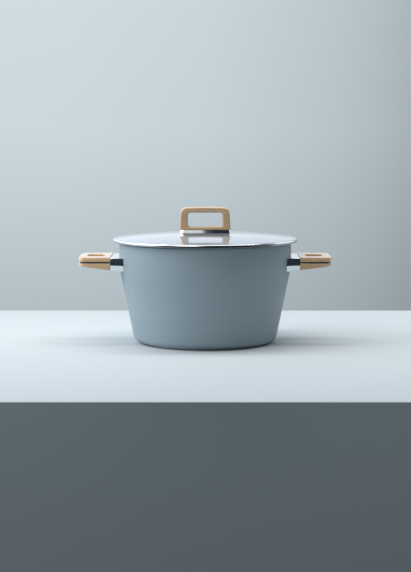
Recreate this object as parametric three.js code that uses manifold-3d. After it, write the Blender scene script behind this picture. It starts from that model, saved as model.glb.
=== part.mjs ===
import * as THREE from 'three';
import { mergeVertices, toCreasedNormals } from 'three/addons/utils/BufferGeometryUtils.js';
import Module from 'manifold-3d';

const wasm = await Module();
wasm.setup();

// A two-handled casserole whose lid is held down by a vacuum as the food cools.
// Millimetres, +Z up, standing on the XY plane. The side handles lie along X, the front faces -Y.

// Fits shared by all mating pieces
const clearance = 0.3;

// Pot
const potRadius = 121;
const potHeight = 141.2;
const potWall = 2.8;
const collarHeight = 34.6;
const collarBlend = 14;
const footInset = 21.2;
const footFillet = 8;
const floorThickness = 5.5;
const floorFillet = 11;
const rimEdge = 0.9;

// Base disc, let into the underside of the pot
const baseMargin = 11.8;
const baseThickness = 4;
const baseInset = 1.5;
const baseEdge = 0.8;

// Side handles: one steel tang between two wooden halves, held by a cast lug inside a ferrule
const sideGrip = {
  rootWidth: 84, taper: 2.5, length: 45.2, cornerSetback: 10, crown: 1.6, crownSetback: 24, edge: 1.6,
  rootBar: 9.8, sideBar: 24, endBar: 12, openingSetback: 5,
};
const gripDrop = 18.1;
const gripRootThickness = 18.2;
const gripEndThickness = 12.6;
const seamDepth = 7.4;
const tangThickness = 2;
const tangInset = 1.2;
const tangNeckInset = 12;
const tangRootGap = 1.2;

// Side ferrules
const ferruleLength = 10.8;
const ferruleWall = 1.8;
const ferruleTopDrop = 1.2;
const ferruleFlare = 1;
const ferruleUndercut = 2;
const ferruleCreaseDepth = 9.9;
const ferruleEdge = 0.8;

// Cast lugs and the screws that hold each tang to its lug
const lugMargin = 4;
const lugEndGap = 1;
const lugFloorGap = 0.6;
const lugBite = 16;
const lugEdge = 2;
const lugScrew = { head: 3, headHeight: 1.8, shank: 2 };
const lugScrewMargin = 8;
const lugScrewCover = 1.8;

// Screws that clamp the wooden halves, let in from the hidden face
const gripScrew = { head: 3.1, headHeight: 2, shank: 1.6, sink: 0.6, cover: 1.7 };

// Seal between lid and pot
const sealFlange = 2.1;
const sealShoulder = 2.7;
const sealLipDepth = 4.4;
const sealLipThickness = 2.6;
const sealLipTaper = 0.5;
const sealLipGap = 0.5;
const sealOverhang = 0.2;

// Lid panel
const lidOverhang = 9;
const lidThickness = 2.1;
const lidEdgeThickness = 3.2;
const domeRise = 6.6;
const plateauRadius = 20;
const skirtThickness = 2.8;
const skirtDepth = 4.8;
const ventRadius = 2.5;
const pocketRadius = 6;
const pocketDepth = 1.5;
const pocketSlope = 0.8;

// Polished bead round the edge of the lid
const beadDepth = 3.2;
const beadLip = 0.7;
const beadRound = 0.7;

// Lid handle: the same tang and wooden halves, upright, in an oblong ferrule
const lidGrip = {
  rootWidth: 72, taper: 2, length: 31.8, cornerSetback: 8, crown: 1.2, crownSetback: 20, edge: 1.8,
  rootBar: 4, sideBar: 11.7, endBar: 8.1, openingSetback: 4.5,
};
const lidGripRootDepth = 14;
const lidGripEndDepth = 10.6;
const lidFerruleHeight = 5;
const lidFerruleInset = 0.3;
const lidFerruleLip = 1.3;
const lidFerruleBow = 1.3;
const lidFerruleCorner = 4.5;
const lidFerruleWall = 1.3;
const lidFerruleTopInset = 1;
const lidFootThickness = 1.5;
const lidFootLift = 0.6;
const lidGripScrew = { head: 2.7, headHeight: 1.6, shank: 1.4, sink: 0.6, cover: 1.8 };

// Studs that hold the lid handle, with return springs below the lid that let it rise a little
const stud = { head: 3, headHeight: 1, shank: 1.5 };
const studInset = 7.7;
const studRoom = 7.5;
const nutWall = 1.9;
const nutHeight = 2.6;
const nutDome = 1.6;
const nutDomeInset = 0.7;
const nutBoreDepth = 2.6;
const springPlay = 0.65;
const springWire = 0.5;
const springTurns = 2.5;
const springLength = 5;

// Valve plug that closes the vent
const plugGap = 1.1;
const plugNeck = 1.9;
const plugHeadLip = 1.6;
const plugHeadHeight = 1;
const plugNoseGap = 0.5;
const plugNoseTaper = 0.7;
const plugNoseLength = 1.8;
const plugNotch = 0.6;

// Facets
const roundSegments = 48;
const smallSegments = 10;
const plugSegments = 20;
const curveSteps = 3;
const domeSteps = 6;
const springStepsPerTurn = 8;
const springSides = 5;
const weldDistance = 1e-4;
const creaseAngle = Math.PI / 5;
const fullestCorner = 0.9;
const beyond = 5;

// Pot sizes that follow
const footRadius = potRadius - footInset;
const baseRadius = footRadius - baseMargin;
const potUnderside = baseThickness - baseInset;
const floorLevel = potUnderside + floorThickness;
const collarLevel = potHeight - collarHeight;

// Side handle sizes that follow
const gripTop = potHeight - gripDrop;
const gripRootBottom = gripTop - gripRootThickness;
const gripEndBottom = gripTop - gripEndThickness;
const seamHeight = gripTop - seamDepth;
const tangUnderside = seamHeight - tangThickness / 2;
const tangTop = seamHeight + tangThickness / 2;
const tangRoot = potRadius + tangRootGap;
const tangNeckWidth = sideGrip.rootWidth - 2 * tangNeckInset;
const ferruleReach = potRadius + ferruleLength;
const ferruleTop = gripTop - ferruleTopDrop;
const ferruleCrease = ferruleTop - ferruleCreaseDepth;
const gripRoot = ferruleReach + clearance;
const gripScrewPlace = barCentre(sideGrip);
const lugRoot = potRadius - lugBite;
const lugReach = ferruleReach - ferruleWall - lugEndGap;
const lugWidth = tangNeckWidth - 2 * lugMargin;
const lugTop = tangUnderside - clearance;
const lugBottom = gripRootBottom + ferruleWall + lugFloorGap;
const lugScrewReach = (potRadius + lugReach) / 2;
const lugScrewSpacing = lugWidth - 2 * lugScrewMargin;
const lugScrewLevel = tangTop + clearance;
const lugScrewLength = lugScrewLevel - lugBottom - lugScrewCover;

// Lid sizes that follow, measured from the top of the pot's rim
const sealLipOuter = potRadius - potWall - sealLipGap;
const sealLipInner = sealLipOuter - sealLipThickness;
const sealInner = sealLipInner - sealShoulder;
const skirtRadius = sealInner - clearance;
const lidRadius = potRadius + lidOverhang;
const beadInner = lidRadius - beadDepth;
const panelUnderside = sealFlange + 2 * clearance;
const panelEdge = panelUnderside + lidEdgeThickness;
const plateau = panelEdge + domeRise;

// Lid handle sizes that follow, measured from the flat crown of the lid
const lidFerruleLength = lidGrip.rootWidth - 2 * lidFerruleInset;
const lidFerruleDepth = lidGripRootDepth + 2 * lidFerruleLip;
const lidFerruleTop = clearance + lidFerruleHeight;
const lidGripRoot = lidFerruleTop + clearance;
const lidGripScrewPlace = barCentre(lidGrip);
const lidFootTop = lidFootLift + lidFootThickness;
const studReach = lidFerruleLength / 2 - studInset;
const lidTangNeckHalf = studReach - studRoom;
const studHeadLift = lidFootTop + clearance;
const springTop = -lidThickness - clearance;
const nutTop = springTop - springLength - clearance;
const nutRadius = stud.shank + nutWall;
const nutDomeRadius = nutRadius - nutDomeInset;
const springRadius = stud.shank + springPlay + springWire / 2;
const plugRadius = pocketRadius - plugGap;
const plugHead = plugNeck + plugHeadLip;
const plugNose = ventRadius - plugNoseGap;
const plugNoseTip = plugNose - plugNoseTaper;

const enamel = new THREE.MeshStandardMaterial({ color: 0x7f96a2, roughness: 0.55, metalness: 0 });
const glossEnamel = new THREE.MeshStandardMaterial({ color: 0x8fa6b6, roughness: 0.15, metalness: 0 });
const wood = new THREE.MeshStandardMaterial({ color: 0xc9a67c, roughness: 0.5, metalness: 0 });
const chrome = new THREE.MeshStandardMaterial({ color: 0xd8dcdf, roughness: 0.1, metalness: 1 });
const steel = new THREE.MeshStandardMaterial({ color: 0x9a9c9e, roughness: 0.35, metalness: 1 });
const silicone = new THREE.MeshStandardMaterial({ color: 0x4c5358, roughness: 0.7, metalness: 0 });

const axisX = new THREE.Vector3(1, 0, 0);
const axisY = new THREE.Vector3(0, 1, 0);
const axisZ = new THREE.Vector3(0, 0, 1);
const backward = axisY.clone().negate();

// Frames that turn an outline drawn in XY and extruded along Z into the place it has on the pot
const flat = new THREE.Matrix4().makeBasis(axisX, axisY, axisZ);
const flatOutward = new THREE.Matrix4().makeBasis(backward, axisX, axisZ);
const upright = new THREE.Matrix4().makeBasis(axisX, axisZ, backward);
const crossSection = new THREE.Matrix4().makeBasis(axisY, axisZ, axisX);

// Solids

function solid(geometry) {
  const bare = new THREE.BufferGeometry();
  bare.setAttribute('position', geometry.getAttribute('position'));
  bare.setIndex(geometry.getIndex());
  const welded = mergeVertices(bare, weldDistance);
  const index = welded.getIndex().array;
  const triangles = [];
  for (let i = 0; i < index.length; i += 3) {
    const [a, b, c] = index.slice(i, i + 3);
    if (a !== b && b !== c && c !== a) triangles.push(a, b, c);
  }
  return new wasm.Manifold(new wasm.Mesh({
    numProp: 3,
    vertProperties: new Float32Array(welded.getAttribute('position').array),
    triVerts: new Uint32Array(triangles),
  }));
}

function surface(body) {
  const mesh = body.getMesh();
  const geometry = new THREE.BufferGeometry();
  geometry.setAttribute('position', new THREE.BufferAttribute(mesh.vertProperties, 3));
  geometry.setIndex(new THREE.BufferAttribute(mesh.triVerts, 1));
  return toCreasedNormals(geometry, creaseAngle);
}

function addPiece(parent, name, body, material) {
  const mesh = new THREE.Mesh(surface(body), material);
  mesh.name = name;
  parent.add(mesh);
  return mesh;
}

// Outlines are lists of corners [x, y, setback], where the setback is how far a corner is rounded
// along both of its sides.
function outline(corners, Type = THREE.Shape) {
  const path = new Type();
  corners.forEach(([x, y, setback], i) => {
    const corner = new THREE.Vector2(x, y);
    const previous = corners.at(i - 1);
    const next = corners[(i + 1) % corners.length];
    const start = new THREE.Vector2(previous[0] - x, previous[1] - y).setLength(setback).add(corner);
    const end = new THREE.Vector2(next[0] - x, next[1] - y).setLength(setback).add(corner);
    if (i === 0) path.moveTo(start.x, start.y);
    else path.lineTo(start.x, start.y);
    if (setback > 0) path.quadraticCurveTo(x, y, end.x, end.y);
  });
  path.closePath();
  return path;
}

function revolve(corners, segments = roundSegments) {
  const points = outline(corners, THREE.Path).getPoints(curveSteps);
  return solid(new THREE.LatheGeometry(points, segments).rotateX(Math.PI / 2));
}

function extrusion(shape, from, to, frame, edge = 0) {
  const geometry = new THREE.ExtrudeGeometry(shape, {
    depth: to - from - 2 * edge,
    curveSegments: curveSteps,
    bevelEnabled: edge > 0,
    bevelThickness: edge,
    bevelSize: edge,
    bevelOffset: -edge,
    bevelSegments: 2,
  });
  return geometry.translate(0, 0, from + edge).applyMatrix4(frame);
}

function reshape(geometry, move) {
  const position = geometry.getAttribute('position');
  const point = new THREE.Vector3();
  for (let i = 0; i < position.count; i += 1) {
    point.fromBufferAttribute(position, i);
    move(point);
    position.setXYZ(i, point.x, point.y, point.z);
  }
  return geometry;
}

function block(from, to) {
  const size = new THREE.Vector3().subVectors(to, from);
  const centre = new THREE.Vector3().addVectors(from, to).multiplyScalar(0.5);
  return solid(new THREE.BoxGeometry(size.x, size.y, size.z).translate(centre.x, centre.y, centre.z));
}

function rod(radius, from, to) {
  return revolve([[0, from, 0], [radius, from, 0], [radius, to, 0], [0, to, 0]], smallSegments);
}

// A screw with its head up: the head rests on z = 0
function screwBody({ head, headHeight, shank }, length) {
  return revolve([
    [0, -length, 0], [shank, -length, 0], [shank, 0, 0],
    [head, 0, 0], [head, headHeight, 0], [0, headHeight, 0],
  ], smallSegments);
}

// The space a screw needs, open above its head
function screwHole({ head, headHeight, shank }, length) {
  const bottom = -length - clearance;
  const top = headHeight + beyond;
  return revolve([
    [0, bottom, 0], [shank + clearance, bottom, 0], [shank + clearance, -clearance, 0],
    [head + clearance, -clearance, 0], [head + clearance, top, 0], [0, top, 0],
  ], smallSegments);
}

function cutAll(body, tools) {
  return tools.reduce((rest, tool) => rest.subtract(tool), body);
}

// Grips: a tapered loop whose root stands on the ferrule

function halfWidthAt({ rootWidth, taper, length }, along) {
  return rootWidth / 2 - taper * along / length;
}

// The middle of a loop's side bar, where its screw goes
function barCentre(size) {
  const along = (size.rootBar + size.length - size.endBar) / 2;
  const openHalf = size.rootWidth / 2 - size.sideBar;
  return { along, across: (openHalf + halfWidthAt(size, along)) / 2 };
}

function loopShape(size, inset, rootExtra) {
  const { length, cornerSetback, crown, crownSetback, openingSetback } = size;
  const rootHalf = halfWidthAt(size, -rootExtra) - inset;
  const endHalf = halfWidthAt(size, length) - inset;
  const end = length - inset;
  const shape = outline([
    [-rootHalf, -rootExtra, 0], [rootHalf, -rootExtra, 0], [endHalf, end - crown, cornerSetback],
    [0, end, crownSetback], [-endHalf, end - crown, cornerSetback],
  ]);
  const openHalf = size.rootWidth / 2 - size.sideBar + inset;
  const openStart = size.rootBar - inset;
  const openEnd = length - size.endBar + inset;
  shape.holes.push(outline([
    [-openHalf, openStart, openingSetback], [-openHalf, openEnd, openingSetback],
    [openHalf, openEnd, openingSetback], [openHalf, openStart, openingSetback],
  ], THREE.Path));
  return shape;
}

// Pot

function potSilhouette(offset) {
  return [
    [0, potUnderside - offset, 0],
    [footRadius + offset, potUnderside - offset, footFillet],
    [potRadius + offset, collarLevel, collarBlend],
    [potRadius + offset, potHeight + offset, rimEdge],
    [0, potHeight + offset, 0],
  ];
}

function potCavity() {
  const inner = potRadius - potWall;
  return revolve([
    [0, floorLevel, 0],
    [footRadius - potWall, floorLevel, floorFillet],
    [inner, collarLevel, collarBlend],
    [inner, potHeight - rimEdge, 0],
    [inner + rimEdge, potHeight, 0],
    [inner + rimEdge, potHeight + beyond, 0],
    [0, potHeight + beyond, 0],
  ]);
}

function lugBody() {
  const half = lugWidth / 2;
  const shape = outline([
    [-half, lugBottom, lugEdge], [half, lugBottom, lugEdge], [half, lugTop, 0], [-half, lugTop, 0],
  ]);
  const holes = [-1, 1].map((side) => screwHole(lugScrew, lugScrewLength)
    .translate([lugScrewReach, side * lugScrewSpacing / 2, lugScrewLevel]));
  return cutAll(solid(extrusion(shape, lugRoot, lugReach, crossSection)), holes);
}

function potBody() {
  const lug = lugBody();
  const recess = revolve([
    [0, -beyond, 0], [baseRadius + clearance, -beyond, 0],
    [baseRadius + clearance, baseThickness + clearance, 0], [0, baseThickness + clearance, 0],
  ]);
  return revolve(potSilhouette(0))
    .add(lug)
    .add(lug.rotate([0, 0, 180]))
    .subtract(potCavity())
    .subtract(recess);
}

function baseDisc() {
  return revolve([
    [0, 0, 0], [baseRadius, 0, baseEdge], [baseRadius, baseThickness, 0], [0, baseThickness, 0],
  ]);
}

// Side handles, drawn for the +X side

// The underside rises evenly from the pot towards the free end
function riseUnderside(geometry) {
  const slope = (gripEndBottom - gripRootBottom) / sideGrip.length;
  const rootDepth = seamHeight - gripRootBottom;
  return reshape(geometry, (point) => {
    if (point.z >= seamHeight) return;
    const depth = rootDepth - slope * (point.x - gripRoot);
    point.z = seamHeight - (seamHeight - point.z) * depth / rootDepth;
  });
}

function gripUndersideAt(reach) {
  return gripRootBottom + (gripEndBottom - gripRootBottom) * (reach - gripRoot) / sideGrip.length;
}

function sideGripScrews() {
  const reach = gripRoot + gripScrewPlace.along;
  const headLevel = gripUndersideAt(reach) + gripScrew.sink + gripScrew.headHeight;
  const length = gripTop - gripScrew.cover - headLevel;
  const places = [-1, 1].map((side) => [reach, side * gripScrewPlace.across, headLevel]);
  const turn = (body, place) => body.rotate([180, 0, 0]).translate(place);
  return {
    bodies: places.map((place) => turn(screwBody(gripScrew, length), place)),
    holes: places.map((place) => turn(screwHole(gripScrew, length), place)),
  };
}

function sideTang() {
  const neckHalf = tangNeckWidth / 2;
  const start = tangRoot - gripRoot;
  const end = sideGrip.rootBar / 2;
  const neck = outline([
    [-neckHalf, start, 0], [neckHalf, start, 0], [neckHalf, end, 0], [-neckHalf, end, 0],
  ]);
  const plates = [loopShape(sideGrip, tangInset, -tangInset), neck]
    .map((shape) => solid(extrusion(shape, tangUnderside, tangTop, flatOutward).translate(gripRoot, 0, 0)));
  const hole = ({ shank }, place) => rod(shank + clearance, tangUnderside - beyond, tangTop + beyond)
    .translate(place);
  const holes = [-1, 1].flatMap((side) => [
    hole(lugScrew, [lugScrewReach, side * lugScrewSpacing / 2, 0]),
    hole(gripScrew, [gripRoot + gripScrewPlace.along, side * gripScrewPlace.across, 0]),
  ]);
  return cutAll(plates[0].add(plates[1]), holes);
}

function sideFerrule() {
  const section = (inset) => {
    const topHalf = sideGrip.rootWidth / 2 - inset;
    const creaseHalf = topHalf + ferruleFlare;
    const bottomHalf = topHalf - ferruleUndercut;
    return outline([
      [-bottomHalf, gripRootBottom + inset, ferruleEdge], [bottomHalf, gripRootBottom + inset, ferruleEdge],
      [creaseHalf, ferruleCrease, 0], [topHalf, ferruleTop - inset, ferruleEdge],
      [-topHalf, ferruleTop - inset, ferruleEdge], [-creaseHalf, ferruleCrease, 0],
    ]);
  };
  const start = lugRoot;
  const outer = extrusion(section(0), start, ferruleReach, crossSection);
  const inner = extrusion(section(ferruleWall), start - beyond, ferruleReach - ferruleWall, crossSection);
  const slotHalf = tangNeckWidth / 2 + clearance;
  const slot = block(
    new THREE.Vector3(start, -slotHalf, tangUnderside - clearance),
    new THREE.Vector3(ferruleReach + beyond, slotHalf, tangTop + clearance),
  );
  return solid(riseUnderside(outer))
    .subtract(solid(riseUnderside(inner)))
    .subtract(slot)
    .subtract(revolve(potSilhouette(clearance)));
}

function sideGripHalves(screwHoles) {
  const shape = loopShape(sideGrip, 0, sideGrip.edge);
  const whole = extrusion(shape, gripRootBottom, gripTop, flatOutward, sideGrip.edge);
  const loop = cutAll(solid(riseUnderside(whole.translate(gripRoot, 0, 0))), screwHoles);
  const reach = gripRoot + sideGrip.length + beyond;
  const half = sideGrip.rootWidth;
  const between = (low, high) => loop.intersect(block(
    new THREE.Vector3(gripRoot, -half, low),
    new THREE.Vector3(reach, half, high),
  ));
  return {
    upper: between(tangTop + clearance, gripTop + beyond),
    lower: between(gripRootBottom - beyond, tangUnderside - clearance),
  };
}

function addSideHandle(parent, side, turn) {
  const handle = new THREE.Group();
  handle.rotation.z = turn;
  parent.add(handle);
  const screws = sideGripScrews();
  const halves = sideGripHalves(screws.holes);
  addPiece(handle, `${side}_handle_tang`, sideTang(), steel);
  addPiece(handle, `${side}_handle_ferrule`, sideFerrule(), chrome);
  addPiece(handle, `${side}_grip_upper`, halves.upper, wood);
  addPiece(handle, `${side}_grip_lower`, halves.lower, wood);
  [1, 2].forEach((number) => {
    addPiece(handle, `${side}_grip_screw_${number}`, screws.bodies[number - 1], steel);
    addPiece(handle, `${side}_lug_screw_${number}`, screwBody(lugScrew, lugScrewLength), steel)
      .position.set(lugScrewReach, (number - 1.5) * lugScrewSpacing, lugScrewLevel);
  });
}

// Lid, drawn from the top of the pot's rim

function domeLevel(radius) {
  const share = (radius - plateauRadius) / (beadInner - plateauRadius);
  return plateau - domeRise * share ** 2;
}

function domeRun(from, to, drop) {
  return Array.from({ length: domeSteps + 1 }, (_, step) => {
    const radius = from + (to - from) * step / domeSteps;
    return [radius, domeLevel(radius) - drop, 0];
  });
}

function studPlaces() {
  return [-1, 1].map((side) => [side * studReach, 0, 0]);
}

function lidPanel() {
  const edge = beadInner + beadDepth / 2 + clearance;
  const seat = beadInner - clearance;
  const rebate = panelEdge - beadLip - clearance;
  const skirtInner = skirtRadius - skirtThickness;
  const pocketFloor = plateau - pocketDepth;
  const panel = revolve([
    [ventRadius, pocketFloor - lidThickness, 0],
    [pocketRadius + pocketSlope, pocketFloor - lidThickness, 0],
    [pocketRadius + 2 * pocketSlope, plateau - lidThickness, 0],
    ...domeRun(plateauRadius, skirtInner, lidThickness),
    [skirtInner, panelUnderside - skirtDepth, 0],
    [skirtRadius, panelUnderside - skirtDepth, 0],
    [skirtRadius, panelUnderside, 0],
    [edge, panelUnderside, 0],
    [edge, rebate, 0],
    [seat, rebate, 0],
    ...domeRun(seat, plateauRadius, 0),
    [pocketRadius + pocketSlope, plateau, 0],
    [pocketRadius, pocketFloor, 0],
    [ventRadius, pocketFloor, 0],
  ]);
  const hole = rod(stud.shank + clearance, 0, plateau + beyond);
  return cutAll(panel, studPlaces().map((place) => hole.translate(place)));
}

function lidBead() {
  const top = panelEdge;
  const grooveTop = top - beadLip;
  const grooveBottom = panelUnderside - clearance;
  const bottom = grooveBottom - beadLip;
  const groove = beadInner + beadDepth / 2 + 2 * clearance;
  return revolve([
    [beadInner, bottom, 0], [lidRadius, bottom, beadRound], [lidRadius, top, beadRound],
    [beadInner, top, 0], [beadInner, grooveTop, 0],
    [groove, grooveTop, 0], [groove, grooveBottom, 0], [beadInner, grooveBottom, 0],
  ]);
}

function lidSeal() {
  const bottom = clearance;
  const top = bottom + sealFlange;
  const lipEnd = bottom - sealLipDepth;
  const outer = potRadius + sealOverhang;
  return revolve([
    [sealInner, bottom, 0], [sealLipInner, bottom, 0], [sealLipInner + sealLipTaper, lipEnd, 0],
    [sealLipOuter - sealLipTaper, lipEnd, 0], [sealLipOuter, bottom, 0],
    [outer, bottom, 0], [outer, top, 0], [sealInner, top, 0],
  ]);
}

// Lid handle, drawn from the flat crown of the lid

class Helix extends THREE.Curve {
  getPoint(share, target = new THREE.Vector3()) {
    const angle = 2 * Math.PI * springTurns * share;
    const high = springTop - springWire / 2;
    const height = high - (springLength - springWire) * (1 - share);
    return target.set(springRadius * Math.cos(angle), springRadius * Math.sin(angle), height);
  }
}

function springBody() {
  const section = new THREE.Shape(Array.from({ length: springSides }, (_, side) => {
    const angle = 2 * Math.PI * side / springSides;
    return new THREE.Vector2(Math.cos(angle), Math.sin(angle)).multiplyScalar(springWire / 2);
  }));
  const steps = springTurns * springStepsPerTurn;
  return solid(new THREE.ExtrudeGeometry(section, { steps, extrudePath: new Helix(), bevelEnabled: false }));
}

// The least clear distance between neighbouring turns, measured on points along the wire
function springGap() {
  const points = new Helix().getPoints(springTurns * springStepsPerTurn);
  const halfTurn = springStepsPerTurn / 2;
  let least = Infinity;
  points.forEach((point, i) => {
    points.slice(i + halfTurn).forEach((other) => {
      least = Math.min(least, point.distanceTo(other));
    });
  });
  return least - springWire;
}

function studLength() {
  return studHeadLift - nutTop + nutBoreDepth - clearance;
}

function nutBody() {
  const hex = new THREE.CylinderGeometry(nutRadius, nutRadius, nutHeight, 6).rotateX(Math.PI / 2);
  const domeBase = nutTop - nutHeight;
  const dome = revolve([
    [0, domeBase - nutDome, 0], [nutDomeRadius, domeBase - nutDome, nutDome],
    [nutDomeRadius, domeBase + nutHeight / 2, 0], [0, domeBase + nutHeight / 2, 0],
  ], smallSegments);
  return solid(hex.translate(0, 0, nutTop - nutHeight / 2))
    .add(dome)
    .subtract(rod(stud.shank + clearance, nutTop - nutBoreDepth, nutTop + beyond));
}

function lidFerruleOutline(inset) {
  const halfLength = lidFerruleLength / 2 - inset;
  const halfDepth = lidFerruleDepth / 2 - inset;
  const endDepth = halfDepth - lidFerruleBow;
  const corner = Math.min(lidFerruleCorner, endDepth * fullestCorner);
  return outline([
    [-halfLength, -endDepth, corner], [0, -halfDepth, halfLength / 2], [halfLength, -endDepth, corner],
    [halfLength, endDepth, corner], [0, halfDepth, halfLength / 2], [-halfLength, endDepth, corner],
  ]);
}

// The ferrule is widest at its foot and draws in evenly towards the grip
function lidFerruleForm(inset, from, to) {
  const geometry = extrusion(lidFerruleOutline(inset), from, to, flat);
  return solid(reshape(geometry, (point) => {
    const drawn = lidFerruleTopInset * (point.z - clearance) / lidFerruleHeight;
    point.x *= 1 - drawn / (lidFerruleLength / 2);
    point.y *= 1 - drawn / (lidFerruleDepth / 2);
  }));
}

function lidFerrule() {
  const slotHalf = lidTangNeckHalf + clearance;
  const slotDepth = tangThickness / 2 + clearance;
  return lidFerruleForm(0, clearance, lidFerruleTop)
    .subtract(lidFerruleForm(lidFerruleWall, clearance - beyond, lidFerruleTop - lidFerruleWall))
    .subtract(block(
      new THREE.Vector3(-slotHalf, -slotDepth, clearance),
      new THREE.Vector3(slotHalf, slotDepth, lidFerruleTop + beyond),
    ));
}

function lidTang() {
  const half = tangThickness / 2;
  const shape = loopShape(lidGrip, tangInset, -tangInset);
  const loop = extrusion(shape, -half, half, upright).translate(0, 0, lidGripRoot);
  const neck = block(
    new THREE.Vector3(-lidTangNeckHalf, -half, lidFootLift),
    new THREE.Vector3(lidTangNeckHalf, half, lidGripRoot + lidGrip.rootBar / 2),
  );
  const plateInset = lidFerruleTopInset + lidFerruleWall + clearance;
  const foot = solid(extrusion(lidFerruleOutline(plateInset), lidFootLift, lidFootTop, flat));
  const plugRoom = plugHead + plugNotch;
  const notch = block(
    new THREE.Vector3(-plugRoom, -plugRoom, lidFootTop),
    new THREE.Vector3(plugRoom, plugRoom, lidFootTop + clearance + plugHeadHeight + plugNotch),
  );
  const studHole = rod(stud.shank + clearance, 0, lidFootTop + beyond);
  const studHoles = studPlaces().map((place) => studHole.translate(place));
  const screwHole = rod(lidGripScrew.shank + clearance, -beyond, beyond).rotate([90, 0, 0]);
  const screwHoles = [-1, 1].map((side) => screwHole
    .translate([side * lidGripScrewPlace.across, 0, lidGripRoot + lidGripScrewPlace.along]));
  return cutAll(solid(loop).add(neck).add(foot), [
    notch, rod(plugNeck + clearance, 0, lidFootTop + clearance), ...studHoles, ...screwHoles,
  ]);
}

function lidGripHalfDepth(height) {
  const share = height / lidGrip.length;
  return (lidGripRootDepth + (lidGripEndDepth - lidGripRootDepth) * share) / 2;
}

function lidGripScrews() {
  const faceDepth = lidGripHalfDepth(lidGripScrewPlace.along);
  const headLevel = faceDepth - lidGripScrew.sink - lidGripScrew.headHeight;
  const length = headLevel + faceDepth - lidGripScrew.cover;
  const places = [-1, 1].map((side) => [
    side * lidGripScrewPlace.across, headLevel, lidGripRoot + lidGripScrewPlace.along,
  ]);
  const turn = (body, place) => body.rotate([-90, 0, 0]).translate(place);
  return {
    bodies: places.map((place) => turn(screwBody(lidGripScrew, length), place)),
    holes: places.map((place) => turn(screwHole(lidGripScrew, length), place)),
  };
}

function lidGripHalves(screwHoles) {
  const shape = loopShape(lidGrip, 0, lidGrip.edge);
  const half = lidGripRootDepth / 2;
  const whole = extrusion(shape, -half, half, upright, lidGrip.edge);
  const tapered = reshape(whole, (point) => {
    point.y *= lidGripHalfDepth(point.z) / half;
  });
  const loop = cutAll(solid(tapered.translate(0, 0, lidGripRoot)), screwHoles);
  const seam = tangThickness / 2 + clearance;
  const width = lidGrip.rootWidth;
  const top = lidGripRoot + lidGrip.length + beyond;
  const between = (near, far) => loop.intersect(block(
    new THREE.Vector3(-width, near, lidGripRoot),
    new THREE.Vector3(width, far, top),
  ));
  return {
    front: between(-half - beyond, -seam),
    back: between(seam, half + beyond),
  };
}

function valvePlug() {
  const discBottom = clearance - pocketDepth;
  const discTop = lidFootLift - clearance;
  const headBottom = lidFootTop + clearance;
  const headTop = headBottom + plugHeadHeight;
  const noseEnd = discBottom - plugNoseLength;
  return revolve([
    [0, noseEnd, 0], [plugNoseTip, noseEnd, 0], [plugNose, discBottom, 0],
    [plugRadius, discBottom, 0], [plugRadius, discTop, 0], [plugNeck, discTop, 0],
    [plugNeck, headBottom, 0], [plugHead, headBottom, 0], [plugHead - plugNotch, headTop, 0], [0, headTop, 0],
  ], plugSegments);
}

function addLidHandle(parent) {
  const handle = new THREE.Group();
  handle.position.z = plateau;
  parent.add(handle);
  const screws = lidGripScrews();
  const halves = lidGripHalves(screws.holes);
  addPiece(handle, 'lid_handle_tang', lidTang(), steel);
  addPiece(handle, 'lid_handle_ferrule', lidFerrule(), chrome);
  addPiece(handle, 'lid_grip_front', halves.front, wood);
  addPiece(handle, 'lid_grip_back', halves.back, wood);
  addPiece(handle, 'valve_plug', valvePlug(), silicone);
  ['left', 'right'].forEach((side, i) => {
    const place = studPlaces()[i];
    addPiece(handle, `lid_grip_screw_${side}`, screws.bodies[i], steel);
    addPiece(handle, `handle_spring_${side}`, springBody(), steel).position.set(...place);
    addPiece(handle, `lid_cap_nut_${side}`, nutBody(), steel).position.set(...place);
    const studMesh = addPiece(handle, `lid_stud_${side}`, screwBody(stud, studLength()), steel);
    studMesh.position.set(place[0], place[1], studHeadLift);
  });
}

function addLid(parent) {
  const lid = new THREE.Group();
  lid.position.z = potHeight;
  parent.add(lid);
  addPiece(lid, 'lid_panel', lidPanel(), glossEnamel);
  addPiece(lid, 'lid_bead', lidBead(), chrome);
  addPiece(lid, 'lid_seal', lidSeal(), silicone);
  addLidHandle(lid);
}

const group = new THREE.Group();
addPiece(group, 'pot_body', potBody(), enamel);
addPiece(group, 'base_disc', baseDisc(), steel);
addSideHandle(group, 'right', 0);
addSideHandle(group, 'left', Math.PI);
addLid(group);
console.log(`handle spring: least gap between turns ${springGap().toFixed(2)} mm`);

export default group;
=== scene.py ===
import math
from collections import namedtuple

import bmesh
import bpy
from mathutils import Matrix, Vector


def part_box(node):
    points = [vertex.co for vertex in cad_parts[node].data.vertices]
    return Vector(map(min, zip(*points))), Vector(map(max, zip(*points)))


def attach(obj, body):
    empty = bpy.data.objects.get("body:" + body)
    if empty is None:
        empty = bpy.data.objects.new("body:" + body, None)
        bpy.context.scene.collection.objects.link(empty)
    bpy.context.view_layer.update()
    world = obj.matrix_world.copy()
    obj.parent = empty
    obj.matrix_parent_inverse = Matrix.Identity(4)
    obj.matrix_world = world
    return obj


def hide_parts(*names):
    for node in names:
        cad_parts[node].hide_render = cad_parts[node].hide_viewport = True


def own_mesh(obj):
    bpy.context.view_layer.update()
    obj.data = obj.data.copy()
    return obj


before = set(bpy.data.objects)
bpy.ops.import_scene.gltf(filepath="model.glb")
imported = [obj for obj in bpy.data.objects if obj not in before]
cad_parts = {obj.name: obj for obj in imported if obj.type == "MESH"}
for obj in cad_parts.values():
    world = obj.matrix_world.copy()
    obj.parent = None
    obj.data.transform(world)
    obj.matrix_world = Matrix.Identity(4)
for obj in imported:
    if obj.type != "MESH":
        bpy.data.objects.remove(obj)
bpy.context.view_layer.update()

MM = 0.001

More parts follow.
